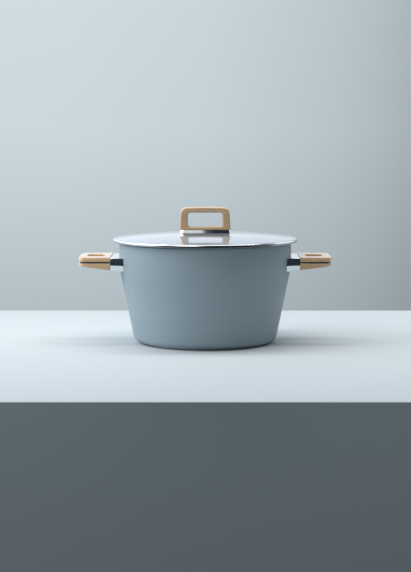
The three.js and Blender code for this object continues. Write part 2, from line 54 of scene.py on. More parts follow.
# Fineness of the meshes
ROUND_SEGMENTS = 192
SMALL_SEGMENTS = 48
CORNER_STEPS = 8
EDGE_STEPS = 6
QUARTER_TURN = [math.pi / 2 * step / EDGE_STEPS for step in range(EDGE_STEPS + 1)]
DOME_STEPS = 24
LONGEST_RUN = 9 * MM
SHORT_RUN = 4 * MM
WALL_RUN = 1 * MM
WIDEST_RAY = math.radians(5)
SHARP_ANGLE = math.radians(20)
TINY = 1e-6
NEARLY_PARALLEL = 1e-12
TURN_DIGITS = 6
MOSTLY_UP = 0.5
OVERSHOOT = 5 * MM

# Sizes read from the frame
pot_low, pot_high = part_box("pot_body")
base_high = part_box("base_disc")[1]
upper_low, upper_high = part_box("right_grip_upper")
lower_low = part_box("right_grip_lower")[0]
ferrule_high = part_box("right_handle_ferrule")[1]
panel_low, panel_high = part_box("lid_panel")
bead_low, bead_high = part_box("lid_bead")
seal_low, seal_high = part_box("lid_seal")
foot_low, foot_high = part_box("lid_handle_ferrule")
front_low, front_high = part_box("lid_grip_front")
back_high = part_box("lid_grip_back")[1]

# Fits and seams
CLEARANCE = 0.3 * MM
TANG_THICKNESS = 2 * MM
SEAM_GAP = TANG_THICKNESS / 2 + CLEARANCE
SEAM_EASE = 0.3 * MM

# Pot
POT_RADIUS = pot_high.y
POT_TOP = pot_high.z
POT_BOTTOM = pot_low.z
POT_WALL = 2.8 * MM
COLLAR_LEVEL = POT_TOP - 34.6 * MM
COLLAR_BLEND = 14 * MM
FOOT_RADIUS = POT_RADIUS - 21.2 * MM
FOOT_FILLET = 8 * MM
FLOOR_LEVEL = POT_BOTTOM + 5.5 * MM
FLOOR_FILLET = 11 * MM
RIM_EDGE = 0.9 * MM
BASE_RADIUS = base_high.x
BASE_TOP = base_high.z
BASE_EDGE = 0.8 * MM
BASE_GROOVES = 5
BASE_GROOVE_DEPTH = 0.35 * MM
BASE_GROOVE_HALF = 1 * MM
BASE_GROOVE_FLOOR_HALF = 0.4 * MM

# Lid
LID_RADIUS = bead_high.x
LID_THICKNESS = 2.1 * MM
PLATEAU = panel_high.z
PLATEAU_RADIUS = 20 * MM
PANEL_EDGE = bead_high.z
PANEL_UNDERSIDE = PANEL_EDGE - 3.2 * MM
SKIRT_BOTTOM = panel_low.z
SEAL_INNER = 112.4 * MM
SKIRT_RADIUS = SEAL_INNER - CLEARANCE
SKIRT_THICKNESS = 2.8 * MM
SKIRT_EDGE = 0.8 * MM
BEAD_INNER = LID_RADIUS - 3.2 * MM
BEAD_LIP = 0.7 * MM
BEAD_TOP_ROUND = 2 * MM
BEAD_FOOT_ROUND = 0.3 * MM
BEAD_LEAN = 0.2 * MM
VENT_RADIUS = 2.5 * MM
POCKET_RADIUS = 6 * MM
POCKET_DEPTH = 1.5 * MM
POCKET_SLOPE = 0.8 * MM
SEAL_OUTER = seal_high.x
SEAL_LIP_OUTER = POT_RADIUS - POT_WALL - 0.5 * MM
SEAL_LIP_THICKNESS = 2.6 * MM
SEAL_LIP_TAPER = 0.5 * MM
SEAL_FLANGE_BOTTOM = POT_TOP + CLEARANCE
SEAL_LIP_ROUND = 0.6 * MM
SEAL_FLANGE_ROUND = 0.4 * MM

# Grips
Loop = namedtuple(
    "Loop", "root_width taper length corner crown crown_setback edge root_bar side_bar end_bar opening_corner"
)
SIDE_LOOP = Loop(
    root_width=upper_high.y - upper_low.y,
    taper=2.5 * MM,
    length=45.2 * MM,
    corner=10 * MM,
    crown=1.6 * MM,
    crown_setback=24 * MM,
    edge=1.6 * MM,
    root_bar=9.8 * MM,
    side_bar=24 * MM,
    end_bar=12 * MM,
    opening_corner=5 * MM,
)
LID_LOOP = Loop(
    root_width=front_high.x - front_low.x,
    taper=2 * MM,
    length=31.8 * MM,
    corner=8 * MM,
    crown=1.2 * MM,
    crown_setback=20 * MM,
    edge=1.8 * MM,
    root_bar=4 * MM,
    side_bar=11.7 * MM,
    end_bar=8.1 * MM,
    opening_corner=4.5 * MM,
)
SIDE_TURNS = {"right": 0, "left": math.pi}
GRIP_ROOT = upper_low.x
GRIP_TOP = upper_high.z
SEAM_HEIGHT = upper_low.z - SEAM_GAP
GRIP_ROOT_BOTTOM = lower_low.z
GRIP_RISE = 5.6 * MM
LID_GRIP_ROOT = front_low.z
LID_GRIP_ROOT_HALF = back_high.y
LID_GRIP_DRAW = 1.7 * MM

# Ferrules
FERRULE_REACH = ferrule_high.x
FERRULE_WALL = 1.8 * MM
FERRULE_TOP_HALF = SIDE_LOOP.root_width / 2
FERRULE_FLARE = 1 * MM
FERRULE_UNDERCUT = 2 * MM
FERRULE_TOP = ferrule_high.z
FERRULE_CREASE = FERRULE_TOP - 9.9 * MM
FERRULE_EDGE = 0.8 * MM
FERRULE_END_EDGE = 0.4 * MM
FERRULE_RINGS = 8
TANG_NECK_HALF = SIDE_LOOP.root_width / 2 - 12 * MM
FOOT_HALF_LENGTH = foot_high.x
FOOT_HALF_DEPTH = LID_GRIP_ROOT_HALF + 1.3 * MM
FOOT_BOW = 1.3 * MM
FOOT_CORNER = 4.5 * MM
FOOT_WALL = 1.3 * MM
FOOT_TOP_INSET = 1 * MM
FOOT_EDGE = 0.35 * MM
LID_NECK_HALF = 20.5 * MM
FULLEST_CORNER = 0.9

# Lugs, screws, nuts and springs
LUG_HALF = TANG_NECK_HALF - 4 * MM
LUG_ROOT = POT_RADIUS - POT_WALL / 2
LUG_REACH = FERRULE_REACH - FERRULE_WALL - 1 * MM
LUG_TOP = SEAM_HEIGHT - SEAM_GAP
LUG_BOTTOM = GRIP_ROOT_BOTTOM + FERRULE_WALL + 0.6 * MM
LUG_EDGE = 2 * MM
Screw = namedtuple("Screw", "head head_height shank sink cover")
SIDE_SCREW = Screw(head=3.1 * MM, head_height=2 * MM, shank=1.6 * MM, sink=0.6 * MM, cover=1.7 * MM)
LID_SCREW = Screw(head=2.7 * MM, head_height=1.6 * MM, shank=1.4 * MM, sink=0.6 * MM, cover=1.8 * MM)
SOCKET_SHARE = 0.55
SOCKET_DEPTH_SHARE = 0.6
HEAD_EDGE = 0.3 * MM
SEAT_HEADROOM = 4 * MM
STUD_SHANK = 1.5 * MM
NUT_RADIUS = 3.4 * MM
NUT_HEIGHT = 2.6 * MM
NUT_DOME_RADIUS = 2.7 * MM
NUT_BORE_DEPTH = 2.6 * MM
NUT_CHAMFER = 0.3 * MM
SPRING_WIRE = 0.25 * MM
SPRING_TURNS = 2.5
SPRING_STEPS = 90
SPRING_SIDES = 10

# Relief of the surfaces, and where in the plank each grip's wood comes from
PEEL_DEPTH = 0.3 * MM
RING_DEPTH = 0.1 * MM
FIBRE_DEPTH = 0.2 * MM
PLANK_SHIFTS = {"right": (0, 0, 0), "left": (1.7, 3.2, 5.4), "lid": (4.1, 2.7, 0.6)}

# Camera, fitted to the photograph's perspective
IMAGE_HEIGHT = 572
FOCAL_PIXELS = 1680
CAMERA_DISTANCE = 2.362
CAMERA_HEIGHT = 0.3248
CAMERA_PITCH = math.radians(5.94)
IMAGE_SHIFT_PIXELS = 0.37
SENSOR = 36

# Stage
FLOOR_HALF = 30
FLOOR_BACK_EDGE = 0.37
FLOOR_FRONT_EDGE = -0.505
FLOOR_BLEND = 0.008
EDGE_SHARE = 0.02
FARTHEST = (FLOOR_BACK_EDGE + CAMERA_DISTANCE) / (FLOOR_HALF + CAMERA_DISTANCE)
FLOOR_COLOUR = (0.57, 0.635, 0.665, 1)
FRONT_COLOUR = (0.041, 0.06, 0.071, 1)
EDGE_COLOUR = (0.445, 0.505, 0.54, 1)
BEHIND_COLOUR = (0.445, 0.518, 0.555, 1)
HORIZON_COLOUR = (0.60, 0.69, 0.733, 1)
SKY = [
    (0, HORIZON_COLOUR), (0.065, (0.625, 0.72, 0.765, 1)), (0.085, (0.96, 1.04, 1.15, 1)),
    (0.3, (0.86, 0.93, 1.03, 1)), (1, (0.17, 0.18, 0.19, 1)),
]
SIDE_FADE = [(0, (2.4, 2.4, 2.4, 1)), (0.44, (1, 1, 1, 1)), (0.56, (1, 1, 1, 1)), (1, (0.4, 0.4, 0.4, 1))]
NEAR_FADE = [
    (0, (0.03, 0.035, 0.04, 1)), (0.2, (0.06, 0.07, 0.08, 1)), (0.5, (0.8, 0.8, 0.8, 1)),
    (0.62, (1, 1, 1, 1)),
]
Lamp = namedtuple("Lamp", "name position target size watts colour")
LAMPS = [
    Lamp("key", (-1.6, -0.35, 1.1), (0, 0, 0.08), (1.2, 1.2), 19, (1, 0.99, 0.97)),
    Lamp("top", (0.05, 0, 1.7), (0, 0, 0.08), (0.45, 2.6), 25, (1, 0.99, 0.97)),
    Lamp("front", (-1.25, -2.2, 0.83), (-1.25, 0, 0.83), (2.46, 0.55), 3.2, (1, 0.99, 0.97)),
    Lamp("front_high", (-0.9, -2.1, 1.25), (0, 0, 0.1), (1.2, 1.0), 8, (1, 0.98, 0.95)),
    Lamp("fill", (1.7, 1.0, 0.9), (0, 0, 0.08), (1.8, 1.4), 8, (0.95, 0.98, 1)),
]
FADE_REACH = 0.12
FADE = [(0, 1.0), (0.17, 0.995), (0.5, 0.93), (0.81, 0.8), (0.91, 0.735), (1, 0.655)]


# Shapes

def rounded(corners, steps=CORNER_STEPS):
    """Points of an outline whose corners (x, y, setback) are rounded along both of their sides."""
    points = []
    for i, (x, y, setback) in enumerate(corners):
        corner = Vector((x, y))
        if setback == 0:
            points.append(corner)
            continue
        before = Vector(corners[i - 1][:2]) - corner
        after = Vector(corners[(i + 1) % len(corners)][:2]) - corner
        start = corner + before.normalized() * setback
        end = corner + after.normalized() * setback
        for step in range(steps + 1):
            t = step / steps
            points.append(start * (1 - t) ** 2 + corner * 2 * t * (1 - t) + end * t ** 2)
    return points


def divided(points, longest=LONGEST_RUN):
    """The same open line with no stretch longer than the given one."""
    result = [points[0]]
    for start, end in zip(points, points[1:]):
        parts = max(1, math.ceil((end - start).length / longest))
        result += [start.lerp(end, part / parts) for part in range(1, parts + 1)]
    return result


def join_rows(mesh, row, following):
    if len(row) == len(following) == 1:
        return
    for i in range(max(len(row), len(following))):
        here, there = row[i % len(row)], following[i % len(following)]
        here_next, there_next = row[(i + 1) % len(row)], following[(i + 1) % len(following)]
        corners = [here, here_next, there_next, there]
        mesh.faces.new(list(dict.fromkeys(corners)))


def loft(name, rows, closed=False):
    """A closed body through rings of points. Unless the rings close on themselves, the ends are capped."""
    mesh = bmesh.new()
    rows = [[mesh.verts.new(point) for point in row] for row in rows]
    for row, following in zip(rows, rows[1:]):
        join_rows(mesh, row, following)
    if closed:
        join_rows(mesh, rows[-1], rows[0])
    else:
        for row in (rows[0], rows[-1]):
            if len(row) > 2:
                mesh.faces.new(row)
    bmesh.ops.recalc_face_normals(mesh, faces=mesh.faces)
    return as_object(name, mesh)


def as_object(name, mesh):
    data = bpy.data.meshes.new(name)
    mesh.to_mesh(data)
    mesh.free()
    made = bpy.data.objects.new(name, data)
    bpy.context.scene.collection.objects.link(made)
    return made


def circle(radius, height, segments):
    if radius < TINY:
        return [Vector((0, 0, height))]
    turns = (2 * math.pi * i / segments for i in range(segments))
    return [Vector((radius * math.cos(turn), radius * math.sin(turn), height)) for turn in turns]


def lathe(name, profile, closed=False, segments=ROUND_SEGMENTS):
    points = divided(profile + profile[:1] if closed else profile)
    if closed:
        points.pop()
    return loft(name, [circle(point.x, point.y, segments) for point in points], closed)


def box_body(low, high):
    corners = [(low.x, low.y), (high.x, low.y), (high.x, high.y), (low.x, high.y)]
    return loft("cutter", [[Vector((x, y, z)) for x, y in corners] for z in (low.z, high.z)])


def applied(piece):
    """Replaces the piece's mesh by what its modifiers make of it."""
    graph = bpy.context.evaluated_depsgraph_get()
    data = bpy.data.meshes.new_from_object(piece.evaluated_get(graph))
    piece.modifiers.clear()
    piece.data = data
    return piece


def cut(piece, cutters):
    for cutter in cutters:
        modifier = piece.modifiers.new("cut", "BOOLEAN")
        modifier.object = cutter
        modifier.operation = "DIFFERENCE"
        modifier.solver = "EXACT"
    applied(piece)
    for cutter in cutters:
        bpy.data.objects.remove(cutter)
    return piece


def dress(piece, paint, body, slot, *nodes):
    """Shading, material, the body it moves with and the CAD nodes it stands for."""
    piece.data.shade_smooth()
    piece.data.set_sharp_from_angle(angle=SHARP_ANGLE)
    piece.modifiers.new("normals", "WEIGHTED_NORMAL").keep_sharp = True
    if not piece.data.materials:
        piece.data.materials.append(paint)
    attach(piece, body)
    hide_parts(*nodes)
    return piece


# Materials

def node(tree, kind, inputs, **settings):
    made = tree.nodes.new(kind)
    for key, value in settings.items():
        setattr(made, key, value)
    for key, value in inputs.items():
        if isinstance(value, bpy.types.NodeSocket):
            tree.links.new(value, made.inputs[key])
        else:
            made.inputs[key].default_value = value
    return made


def new_material(name, **sockets):
    made = bpy.data.materials.new(name)
    made.use_nodes = True
    shader = made.node_tree.nodes["Principled BSDF"]
    for key, value in sockets.items():
        shader.inputs[key.replace("_", " ").title().replace("Ior", "IOR")].default_value = value
    return made, made.node_tree, shader


def place(tree, scale=(1, 1, 1), shift=(0, 0, 0)):
    """Coordinates in the shared frame, stretched and moved."""
    coordinates = tree.nodes.new("ShaderNodeTexCoord").outputs["Object"]
    mapping = node(tree, "ShaderNodeMapping", {"Vector": coordinates, "Scale": scale, "Location": shift})
    return mapping.outputs["Vector"]


def noise(tree, vector, scale, detail=2.0, roughness=0.5):
    inputs = {"Vector": vector, "Scale": scale, "Detail": detail, "Roughness": roughness}
    return node(tree, "ShaderNodeTexNoise", inputs).outputs["Fac"]


def ramp(tree, value, stops):
    made = node(tree, "ShaderNodeValToRGB", {"Fac": value})
    elements = made.color_ramp.elements
    for element, (position, colour) in zip(elements, stops):
        element.position = position
        element.color = colour
    for position, colour in stops[2:]:
        elements.new(position).color = colour
    return made.outputs["Color"]


def spread(tree, value, low, high):
    """A value from 0 to 1 taken to the given range."""
    inputs = {"Value": value, "To Min": low, "To Max": high}
    return node(tree, "ShaderNodeMapRange", inputs).outputs["Result"]


def multiplied(tree, colour, layer):
    made = tree.nodes.new("ShaderNodeMix")
    made.data_type = "RGBA"
    made.blend_type = "MULTIPLY"
    made.inputs["Factor"].default_value = 1.0
    tree.links.new(colour, made.inputs[6])
    tree.links.new(layer, made.inputs[7])
    return made.outputs[2]


def bump(tree, shader, height, strength, distance):
    inputs = {"Height": height, "Strength": strength, "Distance": distance}
    tree.links.new(node(tree, "ShaderNodeBump", inputs).outputs["Normal"], shader.inputs["Normal"])


def coat_material():
    """Matte ceramic-like coating with a fine orange-peel surface."""
    made, tree, shader = new_material("coat", specular_ior_level=0.4)
    drift = noise(tree, place(tree), 14, 3)
    stops = [(0.3, (0.26, 0.333, 0.378, 1)), (0.7, (0.275, 0.351, 0.396, 1))]
    tree.links.new(ramp(tree, drift, stops), shader.inputs["Base Color"])
    tree.links.new(spread(tree, noise(tree, place(tree), 60), 0.4, 0.5), shader.inputs["Roughness"])
    bump(tree, shader, noise(tree, place(tree), 1400, 2), 0.06, PEEL_DEPTH)
    return made


def lining_material():
    """Pale grey non-stick lining with fine dark specks."""
    made, tree, shader = new_material("lining", roughness=0.38)
    specks = noise(tree, place(tree), 900, 1)
    stops = [(0.62, (0.47, 0.48, 0.48, 1)), (0.7, (0.16, 0.165, 0.17, 1))]
    tree.links.new(ramp(tree, specks, stops), shader.inputs["Base Color"])
    bump(tree, shader, noise(tree, place(tree), 700, 2), 0.08, PEEL_DEPTH)
    return made


def lid_material():
    """Glossy enamel that mirrors the handle and pales towards its far edge."""
    made, tree, shader = new_material(
        "lid_enamel", coat_weight=1.0, coat_roughness=0.03, sheen_weight=0.19, sheen_tint=(0.92, 0.97, 1, 1)
    )
    drift = noise(tree, place(tree), 9, 3)
    stops = [(0.3, (0.19, 0.265, 0.335, 1)), (0.7, (0.21, 0.285, 0.355, 1))]
    tree.links.new(ramp(tree, drift, stops), shader.inputs["Base Color"])
    tree.links.new(spread(tree, noise(tree, place(tree), 40), 0.1, 0.16), shader.inputs["Roughness"])
    bump(tree, shader, noise(tree, place(tree), 160, 1), 0.02, PEEL_DEPTH)
    return made


def chrome_material():
    """Polished metal with faint smudges."""
    made, tree, shader = new_material("chrome", metallic=1.0)
    smudge = noise(tree, place(tree), 55, 4, 0.6)
    stops = [(0.35, (0.80, 0.82, 0.84, 1)), (0.75, (0.73, 0.75, 0.77, 1))]
    tree.links.new(ramp(tree, smudge, stops), shader.inputs["Base Color"])
    tree.links.new(spread(tree, smudge, 0.04, 0.13), shader.inputs["Roughness"])
    bump(tree, shader, noise(tree, place(tree), 120, 1), 0.015, PEEL_DEPTH)
    return made


def steel_material(name, dark, light):
    """Satin steel with fine streaks along X."""
    made, tree, shader = new_material(name, metallic=1.0)
    streaks = noise(tree, place(tree, (200, 2600, 2600)), 1, 3)
    stops = [(0.3, (dark, dark, dark, 1)), (0.7, (light, light, light, 1))]
    tree.links.new(ramp(tree, streaks, stops), shader.inputs["Base Color"])
    tree.links.new(spread(tree, streaks, 0.26, 0.42), shader.inputs["Roughness"])
    return made


def base_material():
    """Turned metal: fine rings round the pot's axis."""
    made, tree, shader = new_material("base_metal", metallic=1.0)
    flat = place(tree, (1, 1, 0))
    reach = node(tree, "ShaderNodeVectorMath", {0: flat}, operation="LENGTH").outputs["Value"]
    rings = node(tree, "ShaderNodeTexNoise", {"W": reach, "Scale": 2400, "Detail": 2}, noise_dimensions="1D")
    rings = rings.outputs["Fac"]
    stops = [(0.3, (0.5, 0.5, 0.5, 1)), (0.7, (0.6, 0.6, 0.6, 1))]
    tree.links.new(ramp(tree, rings, stops), shader.inputs["Base Color"])
    tree.links.new(spread(tree, rings, 0.26, 0.42), shader.inputs["Roughness"])
    bump(tree, shader, rings, 0.1, RING_DEPTH)
    return made


def silicone_material():
    made, tree, shader = new_material("silicone", specular_ior_level=0.35)
    dust = noise(tree, place(tree), 260, 3)
    stops = [(0.35, (0.075, 0.085, 0.095, 1)), (0.75, (0.095, 0.105, 0.115, 1))]
    tree.links.new(ramp(tree, dust, stops), shader.inputs["Base Color"])
    tree.links.new(spread(tree, dust, 0.55, 0.7), shader.inputs["Roughness"])
    return made


def wood_material(name, shift):
    """Oiled pale beech with bright edges and its grain along X, from a place in the plank of its own."""
    made, tree, shader = new_material(
        name, coat_weight=1.0, coat_roughness=0.08, sheen_weight=0.36, sheen_tint=(1, 0.94, 0.84, 1)
    )
    figure = noise(tree, place(tree, (5, 60, 60), shift), 1, 3, 0.55)
    fibre = noise(tree, place(tree, (26, 900, 900), shift), 1, 3, 0.6)
    flecks = noise(tree, place(tree, (110, 1500, 1500), shift), 1, 1)
    tone = ramp(tree, figure, [(0.3, (0.71, 0.465, 0.265, 1)), (0.7, (0.81, 0.545, 0.325, 1))])
    shade = ramp(tree, fibre, [(0.3, (0.82, 0.80, 0.77, 1)), (0.7, (1, 1, 1, 1))])
    pore = ramp(tree, flecks, [(0.66, (1, 1, 1, 1)), (0.74, (0.72, 0.66, 0.6, 1))])
    colour = tone
    for layer in (shade, pore):
        colour = multiplied(tree, colour, layer)
    tree.links.new(colour, shader.inputs["Base Color"])
    tree.links.new(spread(tree, fibre, 0.36, 0.5), shader.inputs["Roughness"])
    bump(tree, shader, fibre, 0.12, FIBRE_DEPTH)
    return made


COAT = coat_material()
LINING = lining_material()
LID_ENAMEL = lid_material()
CHROME = chrome_material()
STEEL = steel_material("steel", 0.36, 0.46)
# Steel darkened far below the other steel as painted shade, so the tangs show as the dark seam between the
# grip halves
SEAM_SHADE_STEEL = steel_material("steel_with_painted_seam_shade", 0.14, 0.19)
BASE_METAL = base_material()
SILICONE = silicone_material()


# Pot

def pot_outer():
    """The outside line, from the recess for the base disc up to the rim."""
    recess = BASE_RADIUS + CLEARANCE
    corners = [
        (0, BASE_TOP + CLEARANCE, 0), (recess, BASE_TOP + CLEARANCE, 0), (recess, POT_BOTTOM, 0),
        (FOOT_RADIUS, POT_BOTTOM, FOOT_FILLET), (POT_RADIUS, COLLAR_LEVEL, COLLAR_BLEND),
        (POT_RADIUS, POT_TOP, RIM_EDGE), (POT_RADIUS - POT_WALL / 2, POT_TOP, 0),
    ]
    return rounded(corners)


def pot_inner():
    """The inside line, from the rim down to the middle of the floor."""
    inner = POT_RADIUS - POT_WALL
    corners = [
        (POT_RADIUS - POT_WALL / 2, POT_TOP, 0), (inner, POT_TOP, RIM_EDGE),
        (inner, COLLAR_LEVEL, COLLAR_BLEND), (FOOT_RADIUS - POT_WALL, FLOOR_LEVEL, FLOOR_FILLET),
        (0, FLOOR_LEVEL, 0),
    ]
    return rounded(corners)


def pot_radius_at(height):
    """Radius of the outside wall at a height."""
    line = divided(pot_outer(), WALL_RUN)
    wall = [point for point in line if point.x > FOOT_RADIUS]
    return min(wall, key=lambda point: abs(point.y - height)).x


def lug_rows():
    """Sections of a lug across its width, each from within the round wall out to its flat end."""
    outline = rounded([
        (-LUG_HALF, LUG_TOP, 0), (-LUG_HALF, LUG_BOTTOM, LUG_EDGE), (LUG_HALF, LUG_BOTTOM, LUG_EDGE),
        (LUG_HALF, LUG_TOP, 0),
    ])
    rows = []
    for point in divided(outline, SHORT_RUN):
        if point.y > LUG_BOTTOM + LUG_EDGE + TINY:
            continue
        root = math.sqrt(LUG_ROOT ** 2 - point.x ** 2)
        ends = [(root, point.y), (LUG_REACH, point.y), (LUG_REACH, LUG_TOP), (root, LUG_TOP)]
        rows.append([Vector((x, point.x, z)) for x, z in ends])
    return rows


def make_pot():
    outer, inner = pot_outer(), pot_inner()
    pot = lathe("pot", outer + inner[1:])
    pot.data.materials.append(COAT)
    pot.data.materials.append(LINING)
    for face in pot.data.polygons:
        reach = math.hypot(face.center.x, face.center.y)
        inward = face.normal.x * face.center.x + face.normal.y * face.center.y < -TINY * reach
        floor = face.normal.z > MOSTLY_UP and face.center.z < COLLAR_LEVEL
        if face.center.z > FLOOR_LEVEL - TINY and (inward or floor):
            face.material_index = 1
    dress(pot, COAT, "pot", "coat", "pot_body")
    for side, turn in SIDE_TURNS.items():
        lug = loft(f"{side}_lug", lug_rows())
        lug.data.transform(Matrix.Rotation(turn, 4, "Z"))
        dress(lug, COAT, "pot", "coat", "pot_body")


def make_base():
    corners = [(0, 0, 0)]
    step = BASE_RADIUS / (BASE_GROOVES + 1)
    for ring in range(1, BASE_GROOVES + 1):
        middle = ring * step
        corners += [
            (middle - BASE_GROOVE_HALF, 0, 0), (middle - BASE_GROOVE_FLOOR_HALF, BASE_GROOVE_DEPTH, 0),
            (middle + BASE_GROOVE_FLOOR_HALF, BASE_GROOVE_DEPTH, 0), (middle + BASE_GROOVE_HALF, 0, 0),
        ]
    corners += [(BASE_RADIUS, 0, BASE_EDGE), (BASE_RADIUS, BASE_TOP, 0), (0, BASE_TOP, 0)]
    dress(lathe("base", rounded(corners)), BASE_METAL, "pot", "base", "base_disc")


# Grips

def half_width_at(loop, along):
    return loop.root_width / 2 - loop.taper * along / loop.length


def outer_line(loop, inset):
    root = half_width_at(loop, 0) - inset
    end = half_width_at(loop, loop.length) - inset
    length = loop.length - inset
    return rounded([
        (-root, 0, 0), (root, 0, 0), (end, length - loop.crown, loop.corner),
        (0, length, loop.crown_setback), (-end, length - loop.crown, loop.corner),
    ])


def opening_line(loop, inset):
    half = loop.root_width / 2 - loop.side_bar + inset
    start = loop.root_bar - inset
    end = loop.length - loop.end_bar + inset
    return rounded([
        (-half, start, loop.opening_corner), (half, start, loop.opening_corner),
        (half, end, loop.opening_corner), (-half, end, loop.opening_corner),
    ])


def ray_turns(lines, centre):
    """Directions from the centre through every point of the lines, with none far from the next."""
    turns = sorted({round(math.atan2(*(point - centre).yx), TURN_DIGITS) for line in lines for point in line})
    result = []
    for turn, following in zip(turns, turns[1:] + [turns[0] + 2 * math.pi]):
        parts = max(1, math.ceil((following - turn) / WIDEST_RAY))
        result += [turn + (following - turn) * part / parts for part in range(parts)]
    return result


def ray_hits(line, centre, turns):
    """Where the rays from the centre leave a closed line that surrounds it."""
    hits = []
    for turn in turns:
        ray = Vector((math.cos(turn), math.sin(turn)))
        for start, end in zip(line, line[1:] + line[:1]):
            run, away = end - start, start - centre
            facing = ray.cross(run)
            if abs(facing) < NEARLY_PARALLEL:
                continue
            reach, share = away.cross(run) / facing, away.cross(ray) / facing
            if reach > 0 and -TINY <= share <= 1 + TINY:
                hits.append(centre + ray * reach)
                break
    return hits


def grip_half(name, loop, depth_at, placed):
    """Half of a looped grip, from its seam out to a face at depth_at(along) with rounded edges."""
    centre = Vector((0, (loop.root_bar + loop.length - loop.end_bar) / 2))
    turns = ray_turns([outer_line(loop, 0), opening_line(loop, 0)], centre)
    side = [(SEAM_EASE, SEAM_GAP, 0), (0, SEAM_GAP + SEAM_EASE, 0)]
    edge = [
        (loop.edge * (1 - math.cos(angle)), loop.edge * (math.sin(angle) - 1), 1) for angle in QUARTER_TURN
    ]
    rows = []
    for line, steps in ((outer_line, side + edge), (opening_line, (side + edge)[::-1])):
        for inset, level, from_face in steps:
            hits = ray_hits(line(loop, inset), centre, turns)
            rows.append([placed(hit.x, hit.y, level + from_face * depth_at(hit.y)) for hit in hits])
    return loft(name, rows, closed=True)


def bar_centre(loop):
    along = (loop.root_bar + loop.length - loop.end_bar) / 2
    return along, (loop.root_width / 2 - loop.side_bar + half_width_at(loop, along)) / 2


def hexagon(radius, height):
    """A ring of points round a hexagon with the given radius to its corners."""
    points = []
    for i in range(SMALL_SEGMENTS):
        turn = 2 * math.pi * i / SMALL_SEGMENTS
        off_flat = (turn % (math.pi / 3)) - math.pi / 6
        reach = radius * math.cos(math.pi / 6) / math.cos(off_flat)
        points.append(Vector((reach * math.cos(turn), reach * math.sin(turn), height)))
    return points


def screw(name, form, length):
    """A socket screw with its head up, the underside of the head at the origin."""
    socket = form.head * SOCKET_SHARE
    bottom = form.head_height * (1 - SOCKET_DEPTH_SHARE)
    top = form.head_height
    rings = [
        (0, -length), (form.shank, -length), (form.shank, 0), (form.head, 0),
        (form.head, top - HEAD_EDGE), (form.head - HEAD_EDGE, top),
    ]
    rows = [circle(radius, height, SMALL_SEGMENTS) for radius, height in rings]
    rows += [hexagon(socket, top), hexagon(socket, bottom), [Vector((0, 0, bottom))]]
    return loft(name, rows)


def screw_seat(form):
    """The counterbore for a screw's head, open above it."""
    radius = form.head + CLEARANCE
    top = form.head_height + SEAT_HEADROOM
    rings = [(0, 0), (radius, 0), (radius, top), (0, top)]
    return loft("cutter", [circle(reach, height, SMALL_SEGMENTS) for reach, height in rings])


def fit_screws(grip, form, matrices, length, names, body):
    """Counterbores a grip and puts a screw in each of the places."""
    cutters = []
    for matrix in matrices:
        cutter = screw_seat(form)
        cutter.data.transform(matrix)
        cutters.append(cutter)
    cut(grip, cutters)
    for matrix, name in zip(matrices, names):
        piece = screw(f"{name}_seen", form, length)
        piece.data.transform(matrix)
        dress(piece, STEEL, body, "steel", name)


# Side handles

def side_depth_at(along):
    """Depth of the lower half below the seam: the underside rises towards the free end."""
    return SEAM_HEIGHT - GRIP_ROOT_BOTTOM - GRIP_RISE * along / SIDE_LOOP.length


def ferrule_section(inset):
    top = FERRULE_TOP_HALF - inset
    bottom = top - FERRULE_UNDERCUT
    crease = top + FERRULE_FLARE
    low, high = GRIP_ROOT_BOTTOM + inset, FERRULE_TOP - inset
    points = rounded([
        (-bottom, low, FERRULE_EDGE), (bottom, low, FERRULE_EDGE), (crease, FERRULE_CREASE, 0),
        (top, high, FERRULE_EDGE), (-top, high, FERRULE_EDGE), (-crease, FERRULE_CREASE, 0),
    ])
    return divided(points + points[:1], SHORT_RUN)[:-1]


def ferrule_point(reach, across, height):
    """A point of the ferrule, whose underside rises as the grip's does."""
    if height < SEAM_HEIGHT:
        share = side_depth_at(reach - GRIP_ROOT) / side_depth_at(0)
        height = SEAM_HEIGHT - (SEAM_HEIGHT - height) * share
    return Vector((reach, across, height))


def ferrule_start(across, height):
    """How far out the pot's wall is, beside a point of the ferrule."""
    wall = pot_radius_at(ferrule_point(POT_RADIUS, across, height).z) + CLEARANCE
    return math.sqrt(wall ** 2 - across ** 2)


def side_ferrule(name):
    """A sleeve with a closed end: along its inside to the pot's wall, out again and round its end."""
    rows = []
    for inset, end_wall, order in ((FERRULE_WALL, FERRULE_WALL, -1), (0, FERRULE_END_EDGE, 1)):
        section = ferrule_section(inset)
        starts = [ferrule_start(point.x, point.y) for point in section]
        end = FERRULE_REACH - end_wall
        for ring in range(FERRULE_RINGS + 1)[::order]:
            share = ring / FERRULE_RINGS
            rows.append([
                ferrule_point(start + (end - start) * share, point.x, point.y)
                for start, point in zip(starts, section)
            ])
    for angle in QUARTER_TURN[1:]:
        section = ferrule_section(FERRULE_END_EDGE * (1 - math.cos(angle)))
        reach = FERRULE_REACH - FERRULE_END_EDGE * (1 - math.sin(angle))
        rows.append([ferrule_point(reach, point.x, point.y) for point in section])
    slot = box_body(
        Vector((LUG_ROOT, -TANG_NECK_HALF - CLEARANCE, SEAM_HEIGHT - SEAM_GAP)),
        Vector((FERRULE_REACH + OVERSHOOT, TANG_NECK_HALF + CLEARANCE, SEAM_HEIGHT + SEAM_GAP)),
    )
    return cut(loft(name, rows), [slot])


